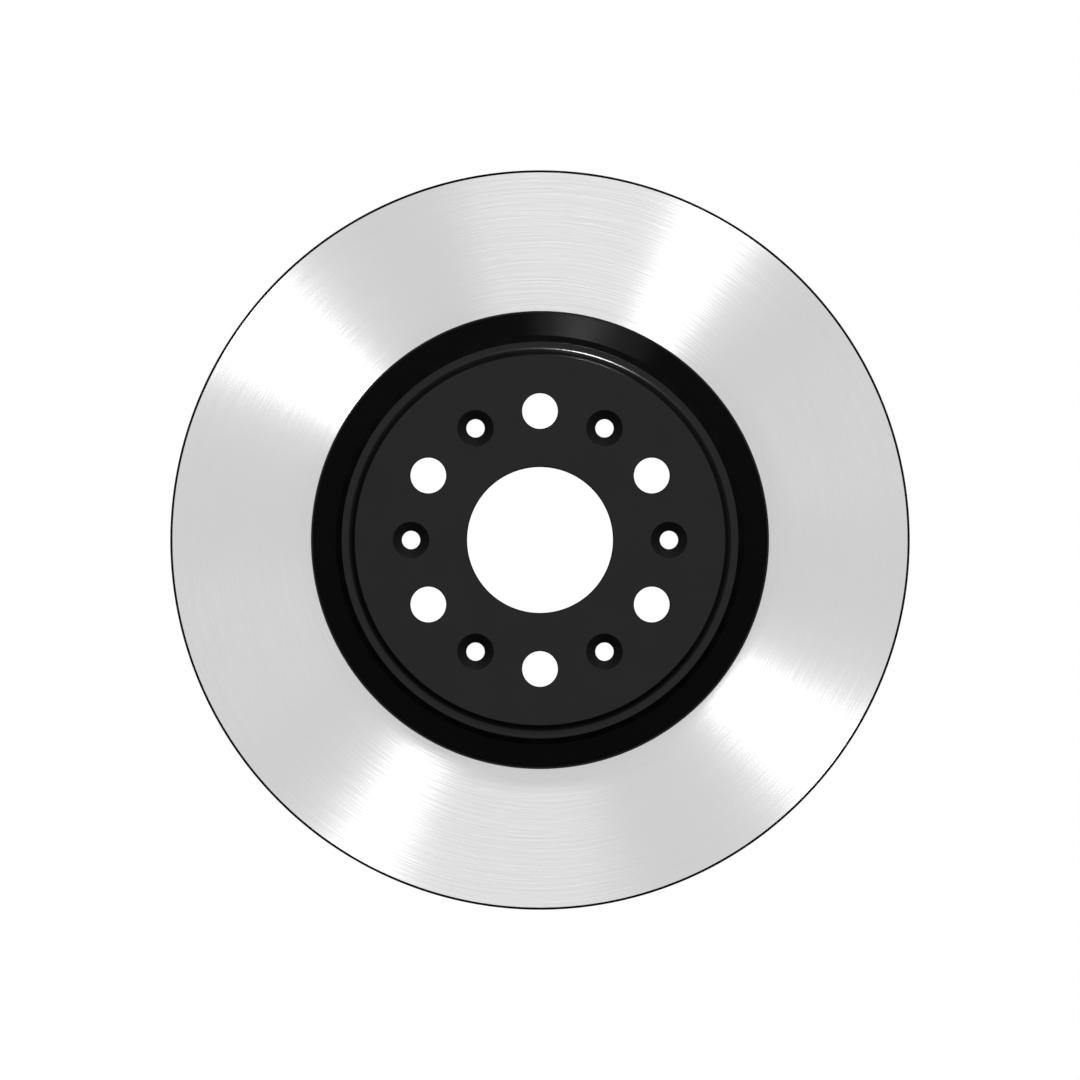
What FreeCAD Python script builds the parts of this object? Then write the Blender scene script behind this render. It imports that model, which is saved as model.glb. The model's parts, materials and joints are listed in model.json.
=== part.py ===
"""Ventilated front brake disc: a black-coated top hat carrying two bare friction cheeks with vanes between.

Millimetres. The disc turns about Y, with +Z up. The origin is the centre of the hub face, where the
disc seats on its hub. The wheel side is towards -Y and the vehicle side towards +Y.

The real disc is one iron casting. Each function below makes one of the members that it is drawn with:
mounting flange, bell wall, neck ring, outboard cheek, inboard cheek and the cooling vanes. They meet
face to face.
"""
import FreeCAD, Part
import math
import os

# Friction ring
disc_diameter = 345.0
disc_thickness = 30.0
cheek_thickness = 9.0
track_inner_diameter = 213.2    # of both tracks
inboard_margin = 3.5        # cast ring inside the inboard track
rim_chamfer = 1.1
track_chamfer = 0.25
track_step = 0.8            # how far a machined track stands above the cast iron beside it
cast_radius = 1.2           # rounding of the cheeks' unmachined edges

# Cooling vanes
vane_count = 36
vane_thickness = 6.0
vane_inner_setback = 2.2    # from the track's inner edge
vane_rim_setback = 3.0

# Hat; the three widths run inwards, on the radius, from the track's inner edge to the wheel face
neck_and_bell_width = 14.3
shoulder_width = 4.1
wheel_face_step_width = 2.1
hat_height = 24.0           # wheel face to outboard track
flange_thickness = 8.0
shoulder_depth = 4.5        # wheel face to shoulder
shoulder_foot_radius = 3.4
shoulder_edge_radius = 0.1
wheel_face_edge_radius = 0.15
bell_draft = 15.0           # degrees from the disc's axis
bell_thickness = 7.5
bell_root_radius = 6.0      # inside the hat, where the hub face meets the wall
neck_angle = 48.0           # degrees from the disc's axis
neck_thickness = 8.0
neck_ledge = 0.6            # flat width between the neck's cone and the track
outer_kink_radius = 1.6
inner_kink_radius = 3.0

# Hub bore and holes
hub_bore = 67.8
bore_chamfer = 0.5
hole_circle = 120.0
hole_count = 6
stud_hole = 16.6
stud_hole_chamfer = 0.4
screw_hole = 8.5
screw_sink_diameter = 17.0
screw_sink_angle = 90.0     # full angle of the countersink

# Radii of the disc's steps
rim_r = disc_diameter / 2
track_r = track_inner_diameter / 2
shoulder_edge_r = track_r - neck_and_bell_width
shoulder_foot_r = shoulder_edge_r - shoulder_width
wheel_face_r = shoulder_foot_r - wheel_face_step_width
bore_r = hub_bore / 2

# Places along the axis
wheel_face_y = -flange_thickness
shoulder_y = wheel_face_y + shoulder_depth
outboard_track_y = wheel_face_y + hat_height
outboard_vent_y = outboard_track_y + cheek_thickness
inboard_track_y = outboard_track_y + disc_thickness
inboard_vent_y = inboard_track_y - cheek_thickness

AXIS = FreeCAD.Vector(0, 1, 0)
CENTRE = FreeCAD.Vector(0, 0, 0)


def section_point(radius, y):
    """Point of a half section, drawn in the XY plane."""
    return FreeCAD.Vector(radius, y, 0)


def tangent_arc(before, corner, after, radius):
    """Start, middle and end of the arc that rounds a corner of an outline."""
    back = (before - corner).normalize()
    ahead = (after - corner).normalize()
    half_angle = back.getAngle(ahead) / 2
    run = radius / math.tan(half_angle)
    inward = (back + ahead).normalize()
    middle = corner + inward * (radius / math.sin(half_angle) - radius)
    return corner + back * run, middle, corner + ahead * run


def outline_face(corners):
    """Half section bounded by (radius from the axis, y, rounding) corners."""
    points = [section_point(r, y) for r, y, _ in corners]
    stretches = []
    for i, (_, _, rounding) in enumerate(corners):
        before, after = points[i - 1], points[(i + 1) % len(points)]
        if rounding:
            stretches.append(tangent_arc(before, points[i], after, rounding))
        else:
            stretches.append((points[i],))
    edges = []
    for i, stretch in enumerate(stretches):
        if len(stretch) == 3:
            edges.append(Part.Arc(*stretch).toShape())
        following = stretches[(i + 1) % len(stretches)][0]
        edges.append(Part.makeLine(stretch[-1], following))
    return Part.Face(Part.Wire(edges))


def turned(section):
    """The solid swept by a half section about the disc's axis."""
    return section.revolve(CENTRE, AXIS, 360)


def line_crossing(r_a, y_a, slope_a, r_b, y_b, slope_b):
    """Where two lines cross, each given by a point and its change of radius per unit of y."""
    y = (r_b - r_a + slope_a * y_a - slope_b * y_b) / (slope_a - slope_b)
    return r_a + slope_a * (y - y_a), y


def cutting_line(start, end, past=2.0):
    """Line through two points, carried past both so that it cuts right through a section."""
    onward = (end - start).normalize() * past
    return Part.makeLine(start - onward, end + onward)


def hat_corners():
    """Named corners of the hat's half section, worked out from the wall thicknesses and drafts."""
    bell_slope = math.tan(math.radians(bell_draft))
    neck_slope = math.tan(math.radians(neck_angle))
    bell_wall_width = bell_thickness / math.cos(math.radians(bell_draft))
    neck_wall_width = neck_thickness / math.cos(math.radians(neck_angle))
    cone_end_r = track_r - neck_ledge
    cone_end_y = outboard_track_y + track_step
    bell_inside_r = shoulder_edge_r - bell_wall_width
    neck_inside_r = cone_end_r - neck_wall_width
    return {
        "outer_kink": line_crossing(
            shoulder_edge_r, shoulder_y, bell_slope, cone_end_r, cone_end_y, neck_slope),
        "inner_kink": line_crossing(
            bell_inside_r, shoulder_y, bell_slope, neck_inside_r, cone_end_y, neck_slope),
        "root": (bell_inside_r - bell_slope * shoulder_y, 0.0),
        "cone_end": (cone_end_r, cone_end_y),
        "vent_end": (neck_inside_r + neck_slope * (outboard_vent_y - cone_end_y), outboard_vent_y),
    }


def hat_sections():
    """Half sections of the flange, the bell wall and the neck, from the axis outwards."""
    at = hat_corners()
    whole = outline_face([
        (bore_r + bore_chamfer, wheel_face_y, 0),
        (bore_r, wheel_face_y + bore_chamfer, 0),
        (bore_r, -bore_chamfer, 0),
        (bore_r + bore_chamfer, 0, 0),
        (*at["root"], bell_root_radius),
        (*at["inner_kink"], inner_kink_radius),
        (*at["vent_end"], 0),
        (track_r, outboard_vent_y, 0),
        (track_r, at["cone_end"][1], 0),
        (*at["cone_end"], 0),
        (*at["outer_kink"], outer_kink_radius),
        (shoulder_edge_r, shoulder_y, shoulder_edge_radius),
        (shoulder_foot_r, shoulder_y, shoulder_foot_radius),
        (wheel_face_r, wheel_face_y, wheel_face_edge_radius),
    ])

    step_foot = tangent_arc(
        section_point(shoulder_edge_r, shoulder_y),
        section_point(shoulder_foot_r, shoulder_y),
        section_point(wheel_face_r, wheel_face_y),
        shoulder_foot_radius)[2]
    hub_face_end = tangent_arc(
        section_point(bore_r, 0),
        section_point(*at["root"]),
        section_point(*at["inner_kink"]),
        bell_root_radius)[0]
    flange_cut = cutting_line(step_foot, hub_face_end)
    neck_cut = cutting_line(section_point(*at["outer_kink"]), section_point(*at["inner_kink"]))
    pieces, _ = whole.generalFuse([flange_cut, neck_cut])
    return sorted(pieces.Faces, key=lambda face: face.CenterOfMass.x)


def on_hole_circle(degrees):
    """Point on the hole circle, in the hub face's plane, seen from the wheel side."""
    angle = math.radians(degrees)
    radius = hole_circle / 2
    return FreeCAD.Vector(radius * math.cos(angle), 0, radius * math.sin(angle))


def stud_hole_tool(centre):
    """Cutter for a wheel stud hole, chamfered at both faces."""
    radius = stud_hole / 2
    wide = radius + stud_hole_chamfer
    front = centre + AXIS * wheel_face_y
    drill = Part.makeCylinder(radius, flange_thickness, front, AXIS)
    front_chamfer = Part.makeCone(wide, radius, stud_hole_chamfer, front, AXIS)
    back_chamfer = Part.makeCone(wide, radius, stud_hole_chamfer, centre, -AXIS)
    return drill.fuse([front_chamfer, back_chamfer])


def screw_hole_tool(centre):
    """Cutter for a countersunk retaining screw hole, open to the wheel face."""
    radius = screw_hole / 2
    sink_radius = screw_sink_diameter / 2
    sink_depth = (sink_radius - radius) / math.tan(math.radians(screw_sink_angle / 2))
    front = centre + AXIS * wheel_face_y
    drill = Part.makeCylinder(radius, flange_thickness, front, AXIS)
    sink = Part.makeCone(sink_radius, radius, sink_depth, front, AXIS)
    return drill.fuse(sink)


def mounting_flange(section):
    """Flat plate between hub and wheel, with its stud holes and the countersunk holes between them."""
    pitch = 360.0 / hole_count
    tools = []
    for i in range(hole_count):
        tools.append(stud_hole_tool(on_hole_circle(90 + i * pitch)))
        tools.append(screw_hole_tool(on_hole_circle(90 + (i + 0.5) * pitch)))
    return turned(section).cut(tools)


def outboard_cheek():
    """Friction cheek on the wheel side, carried by the neck."""
    return turned(outline_face([
        (track_r + track_chamfer, outboard_track_y, 0),
        (track_r, outboard_track_y + track_chamfer, 0),
        (track_r, outboard_vent_y, 0),
        (rim_r, outboard_vent_y, cast_radius),
        (rim_r, outboard_track_y + rim_chamfer, 0),
        (rim_r - rim_chamfer, outboard_track_y, 0),
    ]))


def inboard_cheek():
    """Friction cheek on the vehicle side, carried by the vanes alone."""
    margin_r = track_r - inboard_margin
    margin_y = inboard_track_y - track_step
    return turned(outline_face([
        (margin_r, inboard_vent_y, cast_radius),
        (margin_r, margin_y, cast_radius),
        (track_r, margin_y, 0),
        (track_r, inboard_track_y - track_chamfer, 0),
        (track_r + track_chamfer, inboard_track_y, 0),
        (rim_r - rim_chamfer, inboard_track_y, 0),
        (rim_r, inboard_track_y - rim_chamfer, 0),
        (rim_r, inboard_vent_y, cast_radius),
    ]))


def cooling_vane(degrees):
    """Straight radial vane with round ends, from one cheek to the other."""
    half = vane_thickness / 2
    inner = track_r + vane_inner_setback + half
    outer = rim_r - vane_rim_setback - half

    def point(x, z):
        return FreeCAD.Vector(x, outboard_vent_y, z)

    wire = Part.Wire([
        Part.makeLine(point(inner, -half), point(outer, -half)),
        Part.Arc(point(outer, -half), point(outer + half, 0), point(outer, half)).toShape(),
        Part.makeLine(point(outer, half), point(inner, half)),
        Part.Arc(point(inner, half), point(inner - half, 0), point(inner, -half)).toShape(),
    ])
    vane = Part.Face(wire).extrude(AXIS * (inboard_vent_y - outboard_vent_y))
    vane.rotate(CENTRE, AXIS, -degrees)
    return vane


def all_parts():
    """Every node's name and solid. The first vent opens along +X, so vanes start half a pitch on."""
    flange, bell, neck = hat_sections()
    parts = {
        "mounting_flange": mounting_flange(flange),
        "bell_wall": turned(bell),
        "neck_ring": turned(neck),
        "outboard_cheek": outboard_cheek(),
        "inboard_cheek": inboard_cheek(),
    }
    pitch = 360.0 / vane_count
    for i in range(vane_count):
        parts[f"cooling_vane_{i + 1:02d}"] = cooling_vane((i + 0.5) * pitch)
    return parts


os.makedirs("parts", exist_ok=True)
for name, shape in all_parts().items():
    shape.exportStep(f"parts/{name}.step")
    print(f"{name}: {shape.Volume / 1000:.1f} cm3")
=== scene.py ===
import bpy
import bmesh
import json
import math
from mathutils import Matrix, Vector


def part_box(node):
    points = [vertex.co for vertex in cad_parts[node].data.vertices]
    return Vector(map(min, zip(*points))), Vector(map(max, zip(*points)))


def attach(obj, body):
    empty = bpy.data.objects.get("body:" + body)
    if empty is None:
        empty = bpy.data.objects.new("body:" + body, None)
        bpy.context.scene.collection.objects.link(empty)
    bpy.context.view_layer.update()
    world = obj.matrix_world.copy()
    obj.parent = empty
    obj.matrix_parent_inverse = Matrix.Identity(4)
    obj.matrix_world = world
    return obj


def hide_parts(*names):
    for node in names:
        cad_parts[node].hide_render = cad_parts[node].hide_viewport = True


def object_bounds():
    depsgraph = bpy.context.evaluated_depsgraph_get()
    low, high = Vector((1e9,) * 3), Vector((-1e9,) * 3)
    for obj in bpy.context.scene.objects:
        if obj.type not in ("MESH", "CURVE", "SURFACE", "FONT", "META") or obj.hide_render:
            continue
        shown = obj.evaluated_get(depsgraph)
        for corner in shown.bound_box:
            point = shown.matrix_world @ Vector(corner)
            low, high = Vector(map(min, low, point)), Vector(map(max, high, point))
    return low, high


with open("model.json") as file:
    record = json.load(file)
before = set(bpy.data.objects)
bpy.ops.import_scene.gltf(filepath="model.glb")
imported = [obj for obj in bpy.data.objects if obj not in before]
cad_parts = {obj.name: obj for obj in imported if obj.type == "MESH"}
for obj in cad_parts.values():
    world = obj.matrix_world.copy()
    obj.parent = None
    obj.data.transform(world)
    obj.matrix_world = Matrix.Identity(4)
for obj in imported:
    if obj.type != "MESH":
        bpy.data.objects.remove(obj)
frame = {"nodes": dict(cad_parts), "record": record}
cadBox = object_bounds()
mounts = {mount["name"]: mount for mount in frame["record"]["mounts"]}
print("frame loaded:", len(frame["nodes"]), "nodes")


def roundedStretches(corners, stepDegrees=6.0):
    # corners are (radius, y, rounding); each gives its own list of points, an arc where it is rounded
    stretches = []
    for i, (radius, y, rounding) in enumerate(corners):
        corner = Vector((radius, y))
        if not rounding:
            stretches.append([corner])
            continue
        back = (Vector(corners[i - 1][:2]) - corner).normalized()
        ahead = (Vector(corners[(i + 1) % len(corners)][:2]) - corner).normalized()
        halfAngle = back.angle(ahead) / 2
        centre = corner + (back + ahead).normalized() * (rounding / math.sin(halfAngle))
        start = corner + back * (rounding / math.tan(halfAngle)) - centre
        end = corner + ahead * (rounding / math.tan(halfAngle)) - centre
        sweep = -start.angle_signed(end)
        steps = 2 * max(1, round(abs(math.degrees(sweep)) / stepDegrees / 2))
        arc = []
        for k in range(steps + 1):
            arc.append(centre + Matrix.Rotation(sweep * k / steps, 2) @ start)
        stretches.append(arc)
    return stretches


def roundedOutline(corners, stepDegrees=6.0):
    return [point for stretch in roundedStretches(corners, stepDegrees) for point in stretch]


def ringPoint(radius, y, angle):
    return Vector((radius * math.cos(angle), y, radius * math.sin(angle)))


def storeMesh(name, mesh):
    data = bpy.data.meshes.new(name)
    mesh.to_mesh(data)
    mesh.free()
    return data


def closeMesh(name, mesh):
    bmesh.ops.recalc_face_normals(mesh, faces=mesh.faces)
    return storeMesh(name, mesh)


def bridgeRings(mesh, ring, following):
    # one band of faces between two closed rings of corners
    for i in range(len(ring)):
        j = (i + 1) % len(ring)
        mesh.faces.new((ring[i], ring[j], following[j], following[i]))


def turnedMesh(name, outline, segments):
    # closed outline swept round the disc's axis
    mesh = bmesh.new()
    rings = []
    for k in range(segments):
        angle = 2 * math.pi * k / segments
        rings.append([mesh.verts.new(ringPoint(p.x, p.y, angle)) for p in outline])
    for k, ring in enumerate(rings):
        bridgeRings(mesh, ring, rings[(k + 1) % segments])
    return closeMesh(name, mesh)


def cappedMesh(name, mesh, rings):
    # rings from end to end of a solid, with a flat cap at both ends
    for ring, following in zip(rings, rings[1:]):
        bridgeRings(mesh, ring, following)
    mesh.faces.new(rings[0])
    mesh.faces.new(rings[-1])
    return closeMesh(name, mesh)


def pluggedMesh(name, outline, segments, centre):
    # open outline from end to end of a round cutter
    mesh = bmesh.new()
    rings = []
    for p in outline:
        rings.append([mesh.verts.new(centre + ringPoint(p.x, p.y, 2 * math.pi * k / segments))
                      for k in range(segments)])
    return cappedMesh(name, mesh, rings)


def addObject(name, data):
    piece = bpy.data.objects.new(name, data)
    bpy.context.scene.collection.objects.link(piece)
    return piece


def finishPiece(piece, materials, node, sharpDegrees=28):
    for material in materials:
        piece.data.materials.append(material)
    piece.data.shade_smooth()
    piece.data.set_sharp_from_angle(angle=math.radians(sharpDegrees))
    weighted = piece.modifiers.new("faceWeightedNormals", "WEIGHTED_NORMAL")
    weighted.keep_sharp = True
    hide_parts(node)
    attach(piece, "root")


def newMaterial(name):
    material = bpy.data.materials.new(name)
    material.use_nodes = True
    nodes, links = material.node_tree.nodes, material.node_tree.links
    return material, nodes, links, nodes["Principled BSDF"]


def fromAxis(nodes, links):
    # direction and distance from the disc's axis, so that a pattern runs in circles
    place = nodes.new("ShaderNodeTexCoord")
    flatten = nodes.new("ShaderNodeVectorMath")
    flatten.operation = "MULTIPLY"
    flatten.inputs[1].default_value = (1, 0, 1)
    length = nodes.new("ShaderNodeVectorMath")
    length.operation = "LENGTH"
    links.new(place.outputs["Object"], flatten.inputs[0])
    links.new(flatten.outputs["Vector"], length.inputs[0])
    return place.outputs["Object"], flatten.outputs["Vector"], length.outputs["Value"]


noiseLow, noiseHigh = 0.3, 0.7      # nearly all of a noise's values lie between these


def circleNoise(nodes, links, radius, linesPerMetre, detail, roughness=0.7):
    noise = nodes.new("ShaderNodeTexNoise")
    noise.noise_dimensions = "1D"
    noise.inputs["Scale"].default_value = linesPerMetre
    noise.inputs["Detail"].default_value = detail
    noise.inputs["Roughness"].default_value = roughness
    links.new(radius, noise.inputs["W"])
    return noise.outputs["Fac"]


def solidNoise(nodes, links, place, scale, detail=3.0, roughness=0.55):
    noise = nodes.new("ShaderNodeTexNoise")
    noise.inputs["Scale"].default_value = scale
    noise.inputs["Detail"].default_value = detail
    noise.inputs["Roughness"].default_value = roughness
    links.new(place, noise.inputs["Vector"])
    return noise.outputs["Fac"]


def mapRange(nodes, links, value, low, high):
    remap = nodes.new("ShaderNodeMapRange")
    remap.inputs["From Min"].default_value = noiseLow
    remap.inputs["From Max"].default_value = noiseHigh
    remap.inputs["To Min"].default_value = low
    remap.inputs["To Max"].default_value = high
    links.new(value, remap.inputs["Value"])
    return remap.outputs["Result"]


def scaled(nodes, links, value, factor):
    times = nodes.new("ShaderNodeMath")
    times.operation = "MULTIPLY"
    times.inputs[1].default_value = factor
    links.new(value, times.inputs[0])
    return times.outputs["Value"]


def mixValues(nodes, links, a, b, share):
    mix = nodes.new("ShaderNodeMix")
    mix.inputs["Factor"].default_value = share
    links.new(a, mix.inputs["A"])
    links.new(b, mix.inputs["B"])
    return mix.outputs["Result"]


def greyBetween(nodes, links, value, dark, light):
    ramp = nodes.new("ShaderNodeValToRGB")
    ramp.color_ramp.elements[0].position = noiseLow
    ramp.color_ramp.elements[1].position = noiseHigh
    ramp.color_ramp.elements[0].color = (dark, dark, dark, 1)
    ramp.color_ramp.elements[1].color = (light, light, light, 1)
    links.new(value, ramp.inputs["Fac"])
    return ramp.outputs["Color"]


def addBump(nodes, links, height, distance, shader):
    bump = nodes.new("ShaderNodeBump")
    bump.inputs["Strength"].default_value = 1.0
    bump.inputs["Distance"].default_value = distance
    links.new(height, bump.inputs["Height"])
    links.new(bump.outputs["Normal"], shader.inputs["Normal"])


turnedIron = {
    "dark": 0.64, "light": 0.68,        # bare iron, ring to ring
    "smooth": 0.28, "rough": 0.30,
    "stretch": 1.0,                     # how far highlights are drawn out across the circles
    "streaksPerMetre": 800.0,           # short marks left by the tool, counted along a radius
    "streaksAlong": 26.0,               # and along the circles
    "streakDetail": 2.0,
    "streakDepth": 0.00016,             # tilts them a little towards the axis or away
    "wander": 0.0005,                   # turn from streak to streak, as a share of a full turn
    "finePerMetre": 2600.0, "fineDetail": 2.0,      # rings left by the turning, in two widths
    "broadPerMetre": 160.0, "broadDetail": 3.0,
    "broadShare": 0.45,
    "patchesPerMetre": 22.0, "patchShare": 0.25,
}


def makeTurnedIron(values):
    material, nodes, links, shader = newMaterial("turnedIron")
    place, outwards, radius = fromAxis(nodes, links)
    fine = circleNoise(nodes, links, radius, values["finePerMetre"], values["fineDetail"])
    broad = circleNoise(nodes, links, radius, values["broadPerMetre"], values["broadDetail"])
    rings = mixValues(nodes, links, fine, broad, values["broadShare"])
    patches = solidNoise(nodes, links, place, values["patchesPerMetre"])
    shades = mixValues(nodes, links, rings, patches, values["patchShare"])
    links.new(greyBetween(nodes, links, shades, values["dark"], values["light"]), shader.inputs["Base Color"])
    links.new(mapRange(nodes, links, rings, values["smooth"], values["rough"]), shader.inputs["Roughness"])
    links.new(outwards, shader.inputs["Tangent"])       # a turned face spreads light across its tool marks
    split = nodes.new("ShaderNodeSeparateXYZ")
    stretch = nodes.new("ShaderNodeCombineXYZ")
    links.new(place, split.inputs["Vector"])
    links.new(scaled(nodes, links, radius, values["streaksPerMetre"]), stretch.inputs["X"])
    links.new(scaled(nodes, links, split.outputs["X"], values["streaksAlong"]), stretch.inputs["Y"])
    links.new(scaled(nodes, links, split.outputs["Z"], values["streaksAlong"]), stretch.inputs["Z"])
    streaks = solidNoise(nodes, links, stretch.outputs["Vector"], 1.0, values["streakDetail"])
    addBump(nodes, links, streaks, values["streakDepth"], shader)
    links.new(mapRange(nodes, links, streaks, -values["wander"], values["wander"]),
              shader.inputs["Anisotropic Rotation"])
    shader.inputs["Metallic"].default_value = 1.0
    shader.inputs["Anisotropic"].default_value = values["stretch"]
    return material


satinCoat = {
    "dark": 0.0016, "light": 0.0026,    # black coating over turned iron
    "smooth": 0.16, "rough": 0.21,
    "gloss": 0.20,
    "grainPerMetre": 1100.0, "grainDepth": 0.00003,
}
holeCoatWithPaintedLight = {
    "dark": 0.0030, "light": 0.0038,    # the coating is duller on the walls of the holes, and lighter than the satin coat: that lighter colour is painted light, lifting walls that sit in shade
    "smooth": 0.42, "rough": 0.52,
    "gloss": 0.07,
    "grainPerMetre": 1100.0, "grainDepth": 0.00002,
}
castCoat = {
    "dark": 0.011, "light": 0.027,      # the same coating over the sand-cast skin
    "smooth": 0.50, "rough": 0.68,
    "gloss": 0.30,
    "grainPerMetre": 700.0, "grainDepth": 0.00011,
}
coatPattern = {
    "grainDetail": 4.0,
    "cloudsPerMetre": 45.0,
    "cloudsInShade": 0.5, "cloudsInSheen": 0.6,     # share of clouds, the rest being grain
}


def makeCoat(name, values):
    material, nodes, links, shader = newMaterial(name)
    place = nodes.new("ShaderNodeTexCoord").outputs["Object"]
    grain = solidNoise(nodes, links, place, values["grainPerMetre"], coatPattern["grainDetail"])
    clouds = solidNoise(nodes, links, place, coatPattern["cloudsPerMetre"])
    shades = mixValues(nodes, links, grain, clouds, coatPattern["cloudsInShade"])
    sheens = mixValues(nodes, links, grain, clouds, coatPattern["cloudsInSheen"])
    links.new(greyBetween(nodes, links, shades, values["dark"], values["light"]), shader.inputs["Base Color"])
    links.new(mapRange(nodes, links, sheens, values["smooth"], values["rough"]), shader.inputs["Roughness"])
    addBump(nodes, links, grain, values["grainDepth"], shader)
    shader.inputs["Specular IOR Level"].default_value = values["gloss"]
    return material


trackFinish = makeTurnedIron(turnedIron)
satinFinish = makeCoat("satinBlackCoat", satinCoat)
holeFinishWithPaintedLight = makeCoat("dullBlackCoatWithPaintedLight", holeCoatWithPaintedLight)
castFinish = makeCoat("castBlackCoat", castCoat)
print("materials made")


ringShape = {
    # chamfer at the rim; the black coat on it is painted shade, a dark line round the edge
    "rimChamfer": 0.0011,
    "trackChamfer": 0.00025,
    "trackStep": 0.0008,        # track above the cast iron beside it
    "castRounding": 0.0012,
    "inboardMargin": 0.0035,    # cast ring inside the inboard track
    "segments": 480,
}

outboardLow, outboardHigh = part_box("outboard_cheek")
inboardLow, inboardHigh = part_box("inboard_cheek")
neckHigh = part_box("neck_ring")[1]
rimRadius = max(outboardHigh.x, inboardHigh.x)
trackRadius = neckHigh.x


def paintCheek(data, trackY, chamfer):
    # slot 0 is the bare track, slot 1 the cast skin and slot 2 the turned edge at the rim, given the black
    # satin coat as painted shade that draws a dark line round the rim's edge
    flush = chamfer / 50        # a face this near the track's level is part of it
    for face in data.polygons:
        centre = face.center
        reach = math.hypot(centre.x, centre.z)
        belowTrack = abs(centre.y - trackY)
        if belowTrack < flush and reach > trackRadius:
            face.material_index = 0
        elif belowTrack < chamfer and reach > rimRadius - chamfer:
            face.material_index = 2
        else:
            face.material_index = 1


def makeOutboardCheek(shape):
    trackY, ventY = outboardLow.y, outboardHigh.y
    outline = roundedOutline([
        (trackRadius + shape["trackChamfer"], trackY, 0),
        (trackRadius, trackY + shape["trackChamfer"], 0),
        (trackRadius, ventY, 0),
        (rimRadius, ventY, shape["castRounding"]),
        (rimRadius, trackY + shape["rimChamfer"], 0),
        (rimRadius - shape["rimChamfer"], trackY, 0),
    ])
    piece = addObject("outboardCheek", turnedMesh("outboardCheek", outline, shape["segments"]))
    paintCheek(piece.data, trackY, shape["rimChamfer"])
    piece.visible_glossy = False        # the bell wall beside it stays black
    finishPiece(piece, [trackFinish, castFinish, satinFinish], "outboard_cheek")


def makeInboardCheek(shape):
    ventY, trackY = inboardLow.y, inboardHigh.y
    marginY, marginRadius = trackY - shape["trackStep"], trackRadius - shape["inboardMargin"]
    outline = roundedOutline([
        (marginRadius, ventY, shape["castRounding"]),
        (marginRadius, marginY, shape["castRounding"]),
        (trackRadius, marginY, 0),
        (trackRadius, trackY - shape["trackChamfer"], 0),
        (trackRadius + shape["trackChamfer"], trackY, 0),
        (rimRadius - shape["rimChamfer"], trackY, 0),
        (rimRadius, trackY - shape["rimChamfer"], 0),
        (rimRadius, ventY, shape["castRounding"]),
    ])
    piece = addObject("inboardCheek", turnedMesh("inboardCheek", outline, shape["segments"]))
    paintCheek(piece.data, trackY, shape["rimChamfer"])
    finishPiece(piece, [trackFinish, castFinish, satinFinish], "inboard_cheek")


makeOutboardCheek(ringShape)
makeInboardCheek(ringShape)
print("cheeks made")


vaneShape = {
    "thickness": 0.006,
    "rootRounding": 0.0022,     # where a vane runs into a cheek
    "endPoints": 12,            # steps round each end
    "flareLevels": 6,           # and up each root rounding
    "sharpDegrees": 40,
}


def vaneOutline(inner, outer, grow, endPoints):
    # stadium seen along the disc's axis, grown outwards by the root rounding
    half = vaneShape["thickness"] / 2
    loop = []
    for centre, start in ((outer - half, -90), (inner + half, 90)):
        for k in range(endPoints + 1):
            angle = math.radians(start + 180 * k / endPoints)
            loop.append((centre + (half + grow) * math.cos(angle), (half + grow) * math.sin(angle)))
    return loop


def makeVane(number, name):
    low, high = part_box(name)
    mid = (low + high) / 2
    turn = math.atan2(mid.z, mid.x)
    node = frame["nodes"][name]
    reaches = [v.co.x * math.cos(turn) + v.co.z * math.sin(turn) for v in node.data.vertices]
    inner, outer = min(reaches), max(reaches)
    rounding, levels = vaneShape["rootRounding"], vaneShape["flareLevels"]
    stations = []
    for k in range(levels + 1):
        angle = math.radians(90 * k / levels)
        stations.append((rounding * (1 - math.cos(angle)), rounding * (1 - math.sin(angle))))
    stations = [(low.y + rise, grow) for rise, grow in stations]
    stations += [(high.y + low.y - y, grow) for y, grow in reversed(stations)]
    mesh = bmesh.new()
    rings = []
    for y, grow in stations:
        loop = vaneOutline(inner, outer, grow, vaneShape["endPoints"])
        rings.append([mesh.verts.new((x * math.cos(turn) - z * math.sin(turn), y,
                                      x * math.sin(turn) + z * math.cos(turn))) for x, z in loop])
    data = cappedMesh(f"coolingVane{number:02d}", mesh, rings)
    piece = addObject(data.name, data)
    finishPiece(piece, [castFinish], name, vaneShape["sharpDegrees"])


vaneNames = sorted(name for name in frame["nodes"] if name.startswith("cooling_vane_"))
for number, name in enumerate(vaneNames, 1):
    makeVane(number, name)
print("vanes made:", len(vaneNames))


hatShape = {
    "shoulderDepth": 0.0045,
    "shoulderWidth": 0.0041,
    "faceStepWidth": 0.0021,
    "neckAndBellWidth": 0.0143,
    "footRounding": 0.0034,
    "shoulderRounding": 0.0001,
    "faceRounding": 0.00015,
    "bellDraft": 15.0,          # degrees from the disc's axis
    "neckAngle": 48.0,
    "bellThickness": 0.0075,
    "neckThickness": 0.0080,
    "neckLedge": 0.0006,
    "rootRounding": 0.0060,
    "outerKink": 0.0016,
    "innerKink": 0.0030,
    "boreChamfer": 0.0005,
    "segments": 480,
}

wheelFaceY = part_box("mounting_flange")[0].y
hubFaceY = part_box("mounting_flange")[1].y


def lineCrossing(pointA, slopeA, pointB, slopeB):
    # slopes are the change of radius for each unit of y
    y = (pointB.x - pointA.x + slopeA * pointA.y - slopeB * pointB.y) / (slopeA - slopeB)
    return Vector((pointA.x + slopeA * (y - pointA.y), y))


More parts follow.
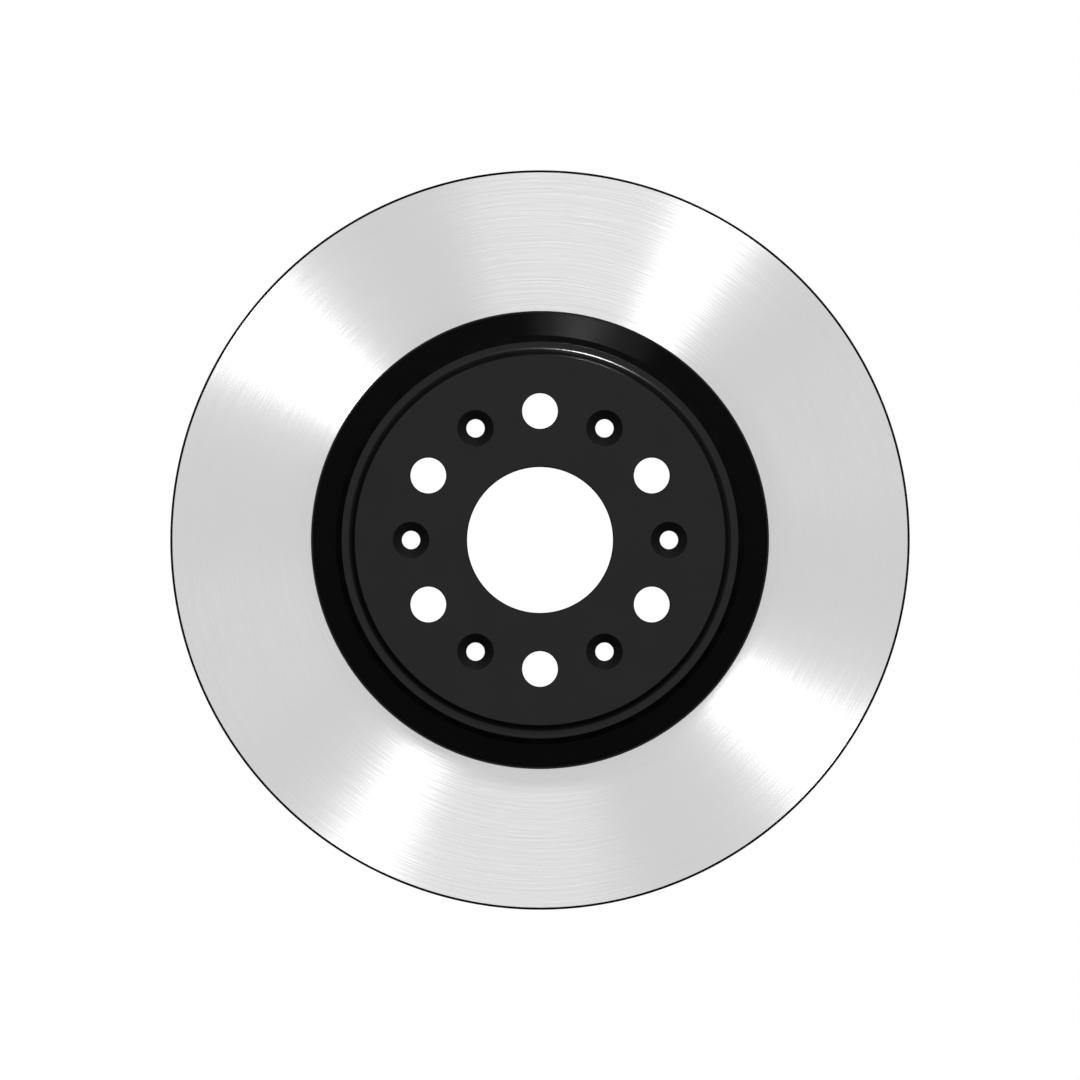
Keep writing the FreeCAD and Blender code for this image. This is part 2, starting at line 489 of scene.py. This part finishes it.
def hatPoints(shape):
    bellSlope = math.tan(math.radians(shape["bellDraft"]))
    neckSlope = math.tan(math.radians(shape["neckAngle"]))
    shoulderY = wheelFaceY + shape["shoulderDepth"]
    edge = Vector((trackRadius - shape["neckAndBellWidth"], shoulderY))
    foot = Vector((edge.x - shape["shoulderWidth"], shoulderY))
    face = Vector((foot.x - shape["faceStepWidth"], wheelFaceY))
    coneEnd = Vector((trackRadius - shape["neckLedge"], outboardLow.y + ringShape["trackStep"]))
    bellWidth = shape["bellThickness"] / math.cos(math.radians(shape["bellDraft"]))
    neckWidth = shape["neckThickness"] / math.cos(math.radians(shape["neckAngle"]))
    bellInside = Vector((edge.x - bellWidth, shoulderY))
    neckInside = Vector((coneEnd.x - neckWidth, coneEnd.y))
    return {
        "edge": edge, "foot": foot, "face": face, "coneEnd": coneEnd,
        "outerKink": lineCrossing(edge, bellSlope, coneEnd, neckSlope),
        "innerKink": lineCrossing(bellInside, bellSlope, neckInside, neckSlope),
        "root": Vector((bellInside.x + bellSlope * (hubFaceY - shoulderY), hubFaceY)),
        "ventEnd": Vector((neckInside.x + neckSlope * (outboardHigh.y - coneEnd.y), outboardHigh.y)),
    }


def hatOutlines(shape):
    # outlines of the flange, bell wall and neck, which meet where the CAD pieces do
    at = hatPoints(shape)
    bore, chamfer = mounts["hub_bore"]["dims"]["r_mm"] / 1000, shape["boreChamfer"]
    stretches = roundedStretches([
        (bore + chamfer, wheelFaceY, 0),
        (bore, wheelFaceY + chamfer, 0),
        (bore, hubFaceY - chamfer, 0),
        (bore + chamfer, hubFaceY, 0),
        (*at["root"], shape["rootRounding"]),
        (*at["innerKink"], shape["innerKink"]),
        (*at["ventEnd"], 0),
        (trackRadius, outboardHigh.y, 0),
        (trackRadius, at["coneEnd"].y, 0),
        (*at["coneEnd"], 0),
        (*at["outerKink"], shape["outerKink"]),
        (*at["edge"], shape["shoulderRounding"]),
        (*at["foot"], shape["footRounding"]),
        (*at["face"], shape["faceRounding"]),
    ])
    # places in the list above
    root, innerKink, outerKink, shoulder, foot, face = (stretches[i] for i in (4, 5, 10, 11, 12, 13))
    innerHalf, outerHalf = len(innerKink) // 2, len(outerKink) // 2
    flange = sum(stretches[:4], []) + [root[0], foot[-1]] + face
    bell = root + innerKink[:innerHalf + 1] + outerKink[outerHalf:] + shoulder + foot
    neck = innerKink[innerHalf:] + sum(stretches[6:10], []) + outerKink[:outerHalf + 1]
    return flange, bell, neck


holeShape = {
    "studChamfer": 0.0004,      # at both faces
    "screwEdge": 0.0001,        # rounding where a countersink meets the wheel face
    "screwFoot": 0.0004,        # and where it meets the hole
    "screwSink": 0.0085,        # countersink's radius at the wheel face
    "sinkDegrees": 90.0,
    "studStart": 90, "screwStart": 120,     # degrees round the disc to the first hole
    "holesWithin": 0.075,       # every hole is nearer the axis than this
    "steep": 0.99,              # a wall's normal has less than this along the axis
    "weld": 0.000001,           # corners nearer together than this become one
    "reach": 0.002,             # how far a cutter runs past each face
    "lift": 0.000002,           # keeps a cutter's rim just off the wheel face
    "segments": 96,
    "arcStep": 10.0,            # degrees
}


def cutterCorners(holeRadius, shape, sunk):
    top, back, reach = wheelFaceY - shape["lift"], hubFaceY, shape["reach"]
    if sunk:
        mouth = shape["screwSink"]
        depth = (mouth - holeRadius) / math.tan(math.radians(shape["sinkDegrees"] / 2))
        return [(mouth + reach, top - reach, 0), (mouth + reach, top, 0), (mouth, top, shape["screwEdge"]),
                (holeRadius, wheelFaceY + depth, shape["screwFoot"]), (holeRadius, back + reach, 0)]
    chamfer = shape["studChamfer"]
    return [(holeRadius + chamfer + reach, top - reach, 0), (holeRadius, top + chamfer, 0),
            (holeRadius, back - chamfer, 0), (holeRadius + chamfer + reach, back + reach, 0)]


def holeCutters(shape):
    cutters = bmesh.new()
    starts = {"stud_holes": shape["studStart"], "screw_holes": shape["screwStart"]}
    for mountName, startDegrees in starts.items():
        dims = mounts[mountName]["dims"]
        corners = cutterCorners(dims["hole_r_mm"] / 1000, shape, mountName == "screw_holes")
        outline = roundedOutline(corners, shape["arcStep"])
        for k in range(dims["count"]):
            angle = math.radians(startDegrees + 360 * k / dims["count"])
            centre = ringPoint(dims["pcd_mm"] / 2000, 0, angle)
            cutters.from_mesh(pluggedMesh("holeCutter", outline, shape["segments"], centre))
    return addObject("holeCutters", storeMesh("holeCutters", cutters))


def weldSlivers(data, distance):
    # the cut leaves a few faces of no width where a hole meets an edge of the flange
    mesh = bmesh.new()
    mesh.from_mesh(data)
    bmesh.ops.remove_doubles(mesh, verts=mesh.verts, dist=distance)
    bmesh.ops.dissolve_degenerate(mesh, edges=mesh.edges, dist=distance)
    mesh.to_mesh(data)
    mesh.free()


def coatHoleWallsWithPaintedLight(data, shape):
    # slot 1 is every steep face of the bore, the stud holes and the countersunk holes, which take the duller
    # coat whose lighter colour is painted light
    for face in data.polygons:
        reach = math.hypot(face.center.x, face.center.z)
        if reach < shape["holesWithin"] and abs(face.normal.y) < shape["steep"]:
            face.material_index = 1


def makeHat(shape, holes):
    flange, bell, neck = hatOutlines(shape)
    flangePiece = addObject("mountingFlange", turnedMesh("mountingFlange", flange, shape["segments"]))
    cutters = holeCutters(holes)
    drill = flangePiece.modifiers.new("drilledHoles", "BOOLEAN")
    drill.operation, drill.solver, drill.object = "DIFFERENCE", "EXACT", cutters
    drilled = flangePiece.evaluated_get(bpy.context.evaluated_depsgraph_get())
    flangePiece.data = bpy.data.meshes.new_from_object(drilled)
    flangePiece.modifiers.clear()
    bpy.data.objects.remove(cutters)
    weldSlivers(flangePiece.data, holes["weld"])
    coatHoleWallsWithPaintedLight(flangePiece.data, holes)
    finishPiece(flangePiece, [satinFinish, holeFinishWithPaintedLight], "mounting_flange")
    bellPiece = addObject("bellWall", turnedMesh("bellWall", bell, shape["segments"]))
    finishPiece(bellPiece, [satinFinish], "bell_wall")
    neckPiece = addObject("neckRing", turnedMesh("neckRing", neck, shape["segments"]))
    finishPiece(neckPiece, [satinFinish], "neck_ring")


makeHat(hatShape, holeShape)
print("hat made")


floorShape = {
    "drop": 0.12,               # below the rim
    "radius": 1.1,
    "segments": 128,
    "grey": 0.93, "speckle": 0.01,
    "specklesPerMetre": 60.0,
    "roughness": 0.9,
}


def makeFloor(shape):
    level = cadBox[0].z - shape["drop"]
    mesh = bmesh.new()
    bmesh.ops.create_circle(mesh, cap_ends=True, segments=shape["segments"], radius=shape["radius"])
    data = storeMesh("studioFloor", mesh)
    floor = addObject("studioFloor", data)
    floor.location = (0, 0, level)
    material, nodes, links, shader = newMaterial("paleFloor")
    place = nodes.new("ShaderNodeTexCoord").outputs["Object"]
    speckle = solidNoise(nodes, links, place, shape["specklesPerMetre"])
    grey = greyBetween(nodes, links, speckle, shape["grey"] - shape["speckle"], shape["grey"])
    links.new(grey, shader.inputs["Base Color"])
    shader.inputs["Roughness"].default_value = shape["roughness"]
    data.materials.append(material)
    floor.visible_glossy = floor.visible_diffuse = False    # the disc mirrors the studio, not the floor


makeFloor(floorShape)


studioLight = {
    "front": 1.06,              # what the flat faces of the disc look out at
    "side": 0.12,
    "back": 1.05,
    "backdrop": 1.0,            # what the camera sees behind the disc
    "frontEnds": 0.10, "sideStarts": 0.30,      # from straight in front at 0 to straight behind at 1
    "sideEnds": 0.70, "backStarts": 0.90,
}


def makeWorld(values):
    world = bpy.data.worlds.new("studioWorld")
    bpy.context.scene.world = world
    world.use_nodes = True
    nodes, links = world.node_tree.nodes, world.node_tree.links
    light = nodes["Background"]
    direction = nodes.new("ShaderNodeTexCoord")
    split = nodes.new("ShaderNodeSeparateXYZ")
    ramp = nodes.new("ShaderNodeValToRGB")
    remap = nodes.new("ShaderNodeMapRange")
    remap.inputs["From Min"].default_value = -1.0
    links.new(direction.outputs["Generated"], split.inputs["Vector"])
    links.new(split.outputs["Y"], remap.inputs["Value"])
    links.new(remap.outputs["Result"], ramp.inputs["Fac"])
    stops = ((0.0, values["front"]), (values["frontEnds"], values["front"]),
             (values["sideStarts"], values["side"]), (values["sideEnds"], values["side"]),
             (values["backStarts"], values["back"]))
    ramp.color_ramp.elements.remove(ramp.color_ramp.elements[1])
    for k, (position, level) in enumerate(stops):
        stop = ramp.color_ramp.elements[0] if k == 0 else ramp.color_ramp.elements.new(position)
        stop.position, stop.color = position, (level, level, level, 1)
    links.new(ramp.outputs["Color"], light.inputs["Color"])
    backdrop = nodes.new("ShaderNodeBackground")
    backdrop.inputs["Color"].default_value = (1, 1, 1, 1)
    backdrop.inputs["Strength"].default_value = values["backdrop"]
    seen = nodes.new("ShaderNodeLightPath")
    choose = nodes.new("ShaderNodeMixShader")
    links.new(seen.outputs["Is Camera Ray"], choose.inputs["Fac"])
    links.new(light.outputs["Background"], choose.inputs[1])
    links.new(backdrop.outputs["Background"], choose.inputs[2])
    links.new(choose.outputs["Shader"], nodes["World Output"].inputs["Surface"])


softboxes = {
    # round: degrees round the disc from +X, seen from the wheel side
    # away: degrees from the axis on that side; across runs round the disc and along towards its axis
    "upperLeft": {"round": 142.7, "away": 42, "distance": 8.0, "across": 1.10, "along": 1.6, "watts": 300,
                  "lights": "ring"},
    "upperRight": {"round": 61.0, "away": 46, "distance": 8.0, "across": 1.05, "along": 1.6, "watts": 210,
                   "lights": "ring"},
    "high": {"round": 87.5, "away": 50, "distance": 8.0, "across": 3.4, "along": 1.0, "watts": 124,
             "lights": "ring"},
    "left": {"round": 200, "away": 50, "distance": 8.0, "across": 3.2, "along": 1.0, "watts": 28,
             "lights": "ring"},
    "hatGlint": {"round": 74, "away": 44, "distance": 4.0, "across": 0.55, "along": 0.3, "watts": 260,
                 "lights": "faceAndBell"},
    "hatSide": {"round": 79, "away": 84, "distance": 4.0, "across": 0.5, "along": 0.5, "watts": 1.15,
                "lights": "hat"},
    "hatSideMid": {"round": 78.5, "away": 84, "distance": 4.0, "across": 1.1, "along": 0.5, "watts": 1.8,
                   "lights": "hat"},
    "hatSideWide": {"round": 76, "away": 84, "distance": 4.0, "across": 2.2, "along": 0.5, "watts": 2.4,
                    "lights": "hat"},
    "rimHigh": {"round": 75, "away": 119, "distance": 4.0, "across": 2.2, "along": 1.0, "watts": 150,
                "lights": "casting"},
    "rimRight": {"round": 5, "away": 119, "distance": 4.0, "across": 1.6, "along": 1.0, "watts": 70,
                 "lights": "casting"},
    "rimLeft": {"round": 178, "away": 119, "distance": 4.0, "across": 1.6, "along": 1.0, "watts": 70,
                "lights": "casting"},
    "behindLeft": {"round": 128, "away": 136, "distance": 8.0, "across": 1.1, "along": 1.6, "watts": 260,
                   "lights": "casting"},
    "behindRight": {"round": 40, "away": 134, "distance": 8.0, "across": 1.1, "along": 1.6, "watts": 220,
                    "lights": "casting"},
    "insideHat": {"round": 80, "away": 142, "distance": 4.0, "across": 1.4, "along": 0.8, "watts": 120,
                  "lights": "hat"},
    "overFloor": {"round": 90, "away": 90, "distance": 2.6, "across": 2.4, "along": 2.4, "watts": 90,
                  "lights": "floor"},
}
litPieces = {
    "ring": ["outboardCheek", "inboardCheek"],
    "hat": ["mountingFlange", "bellWall", "neckRing"],
    "faceAndBell": ["mountingFlange", "bellWall"],
    "casting": ["outboardCheek", "inboardCheek"]
               + [f"coolingVane{number:02d}" for number in range(1, len(vaneNames) + 1)],
    "floor": ["studioFloor"],
}


def makeSoftbox(name, values):
    data = bpy.data.lights.new(name, "AREA")
    data.shape, data.size, data.size_y = "RECTANGLE", values["across"], values["along"]
    data.energy = values["watts"]
    lamp = addObject(name, data)
    turn, away = math.radians(values["round"]), math.radians(values["away"])
    way = Vector((math.sin(away) * math.cos(turn), -math.cos(away), math.sin(away) * math.sin(turn)))
    across = Vector((-math.sin(turn), 0, math.cos(turn)))
    lamp.location = Vector((0, outboardLow.y, 0)) + way * values["distance"]
    lamp.rotation_euler = Matrix((across, way.cross(across), way)).transposed().to_euler()
    lamp.visible_camera = False
    reached = bpy.data.collections.new(name + "Reaches")
    for pieceName in litPieces[values["lights"]]:
        reached.objects.link(bpy.data.objects[pieceName])
    lamp.light_linking.receiver_collection = reached


makeWorld(studioLight)
for name, values in softboxes.items():
    makeSoftbox(name, values)
print("studio lit")


cameraSetup = {
    "distance": 8.0,
    "sensorMm": 36.0,
    "discShare": 0.6849,        # of the picture's width
    "seesTo": 3,                # times the distance
}


def makeCamera(values):
    data = bpy.data.cameras.new("productCamera")
    camera = addObject("productCamera", data)
    camera.location = (0, outboardLow.y - values["distance"], 0)
    camera.rotation_euler = (math.radians(90), 0, 0)
    fieldWidth = 2 * rimRadius / values["discShare"]
    data.sensor_width = values["sensorMm"]
    data.lens = values["sensorMm"] * values["distance"] / fieldWidth
    data.clip_end = values["distance"] * values["seesTo"]
    bpy.context.scene.camera = camera


makeCamera(cameraSetup)
bpy.context.scene.view_settings.view_transform = "Standard"
print("camera placed")
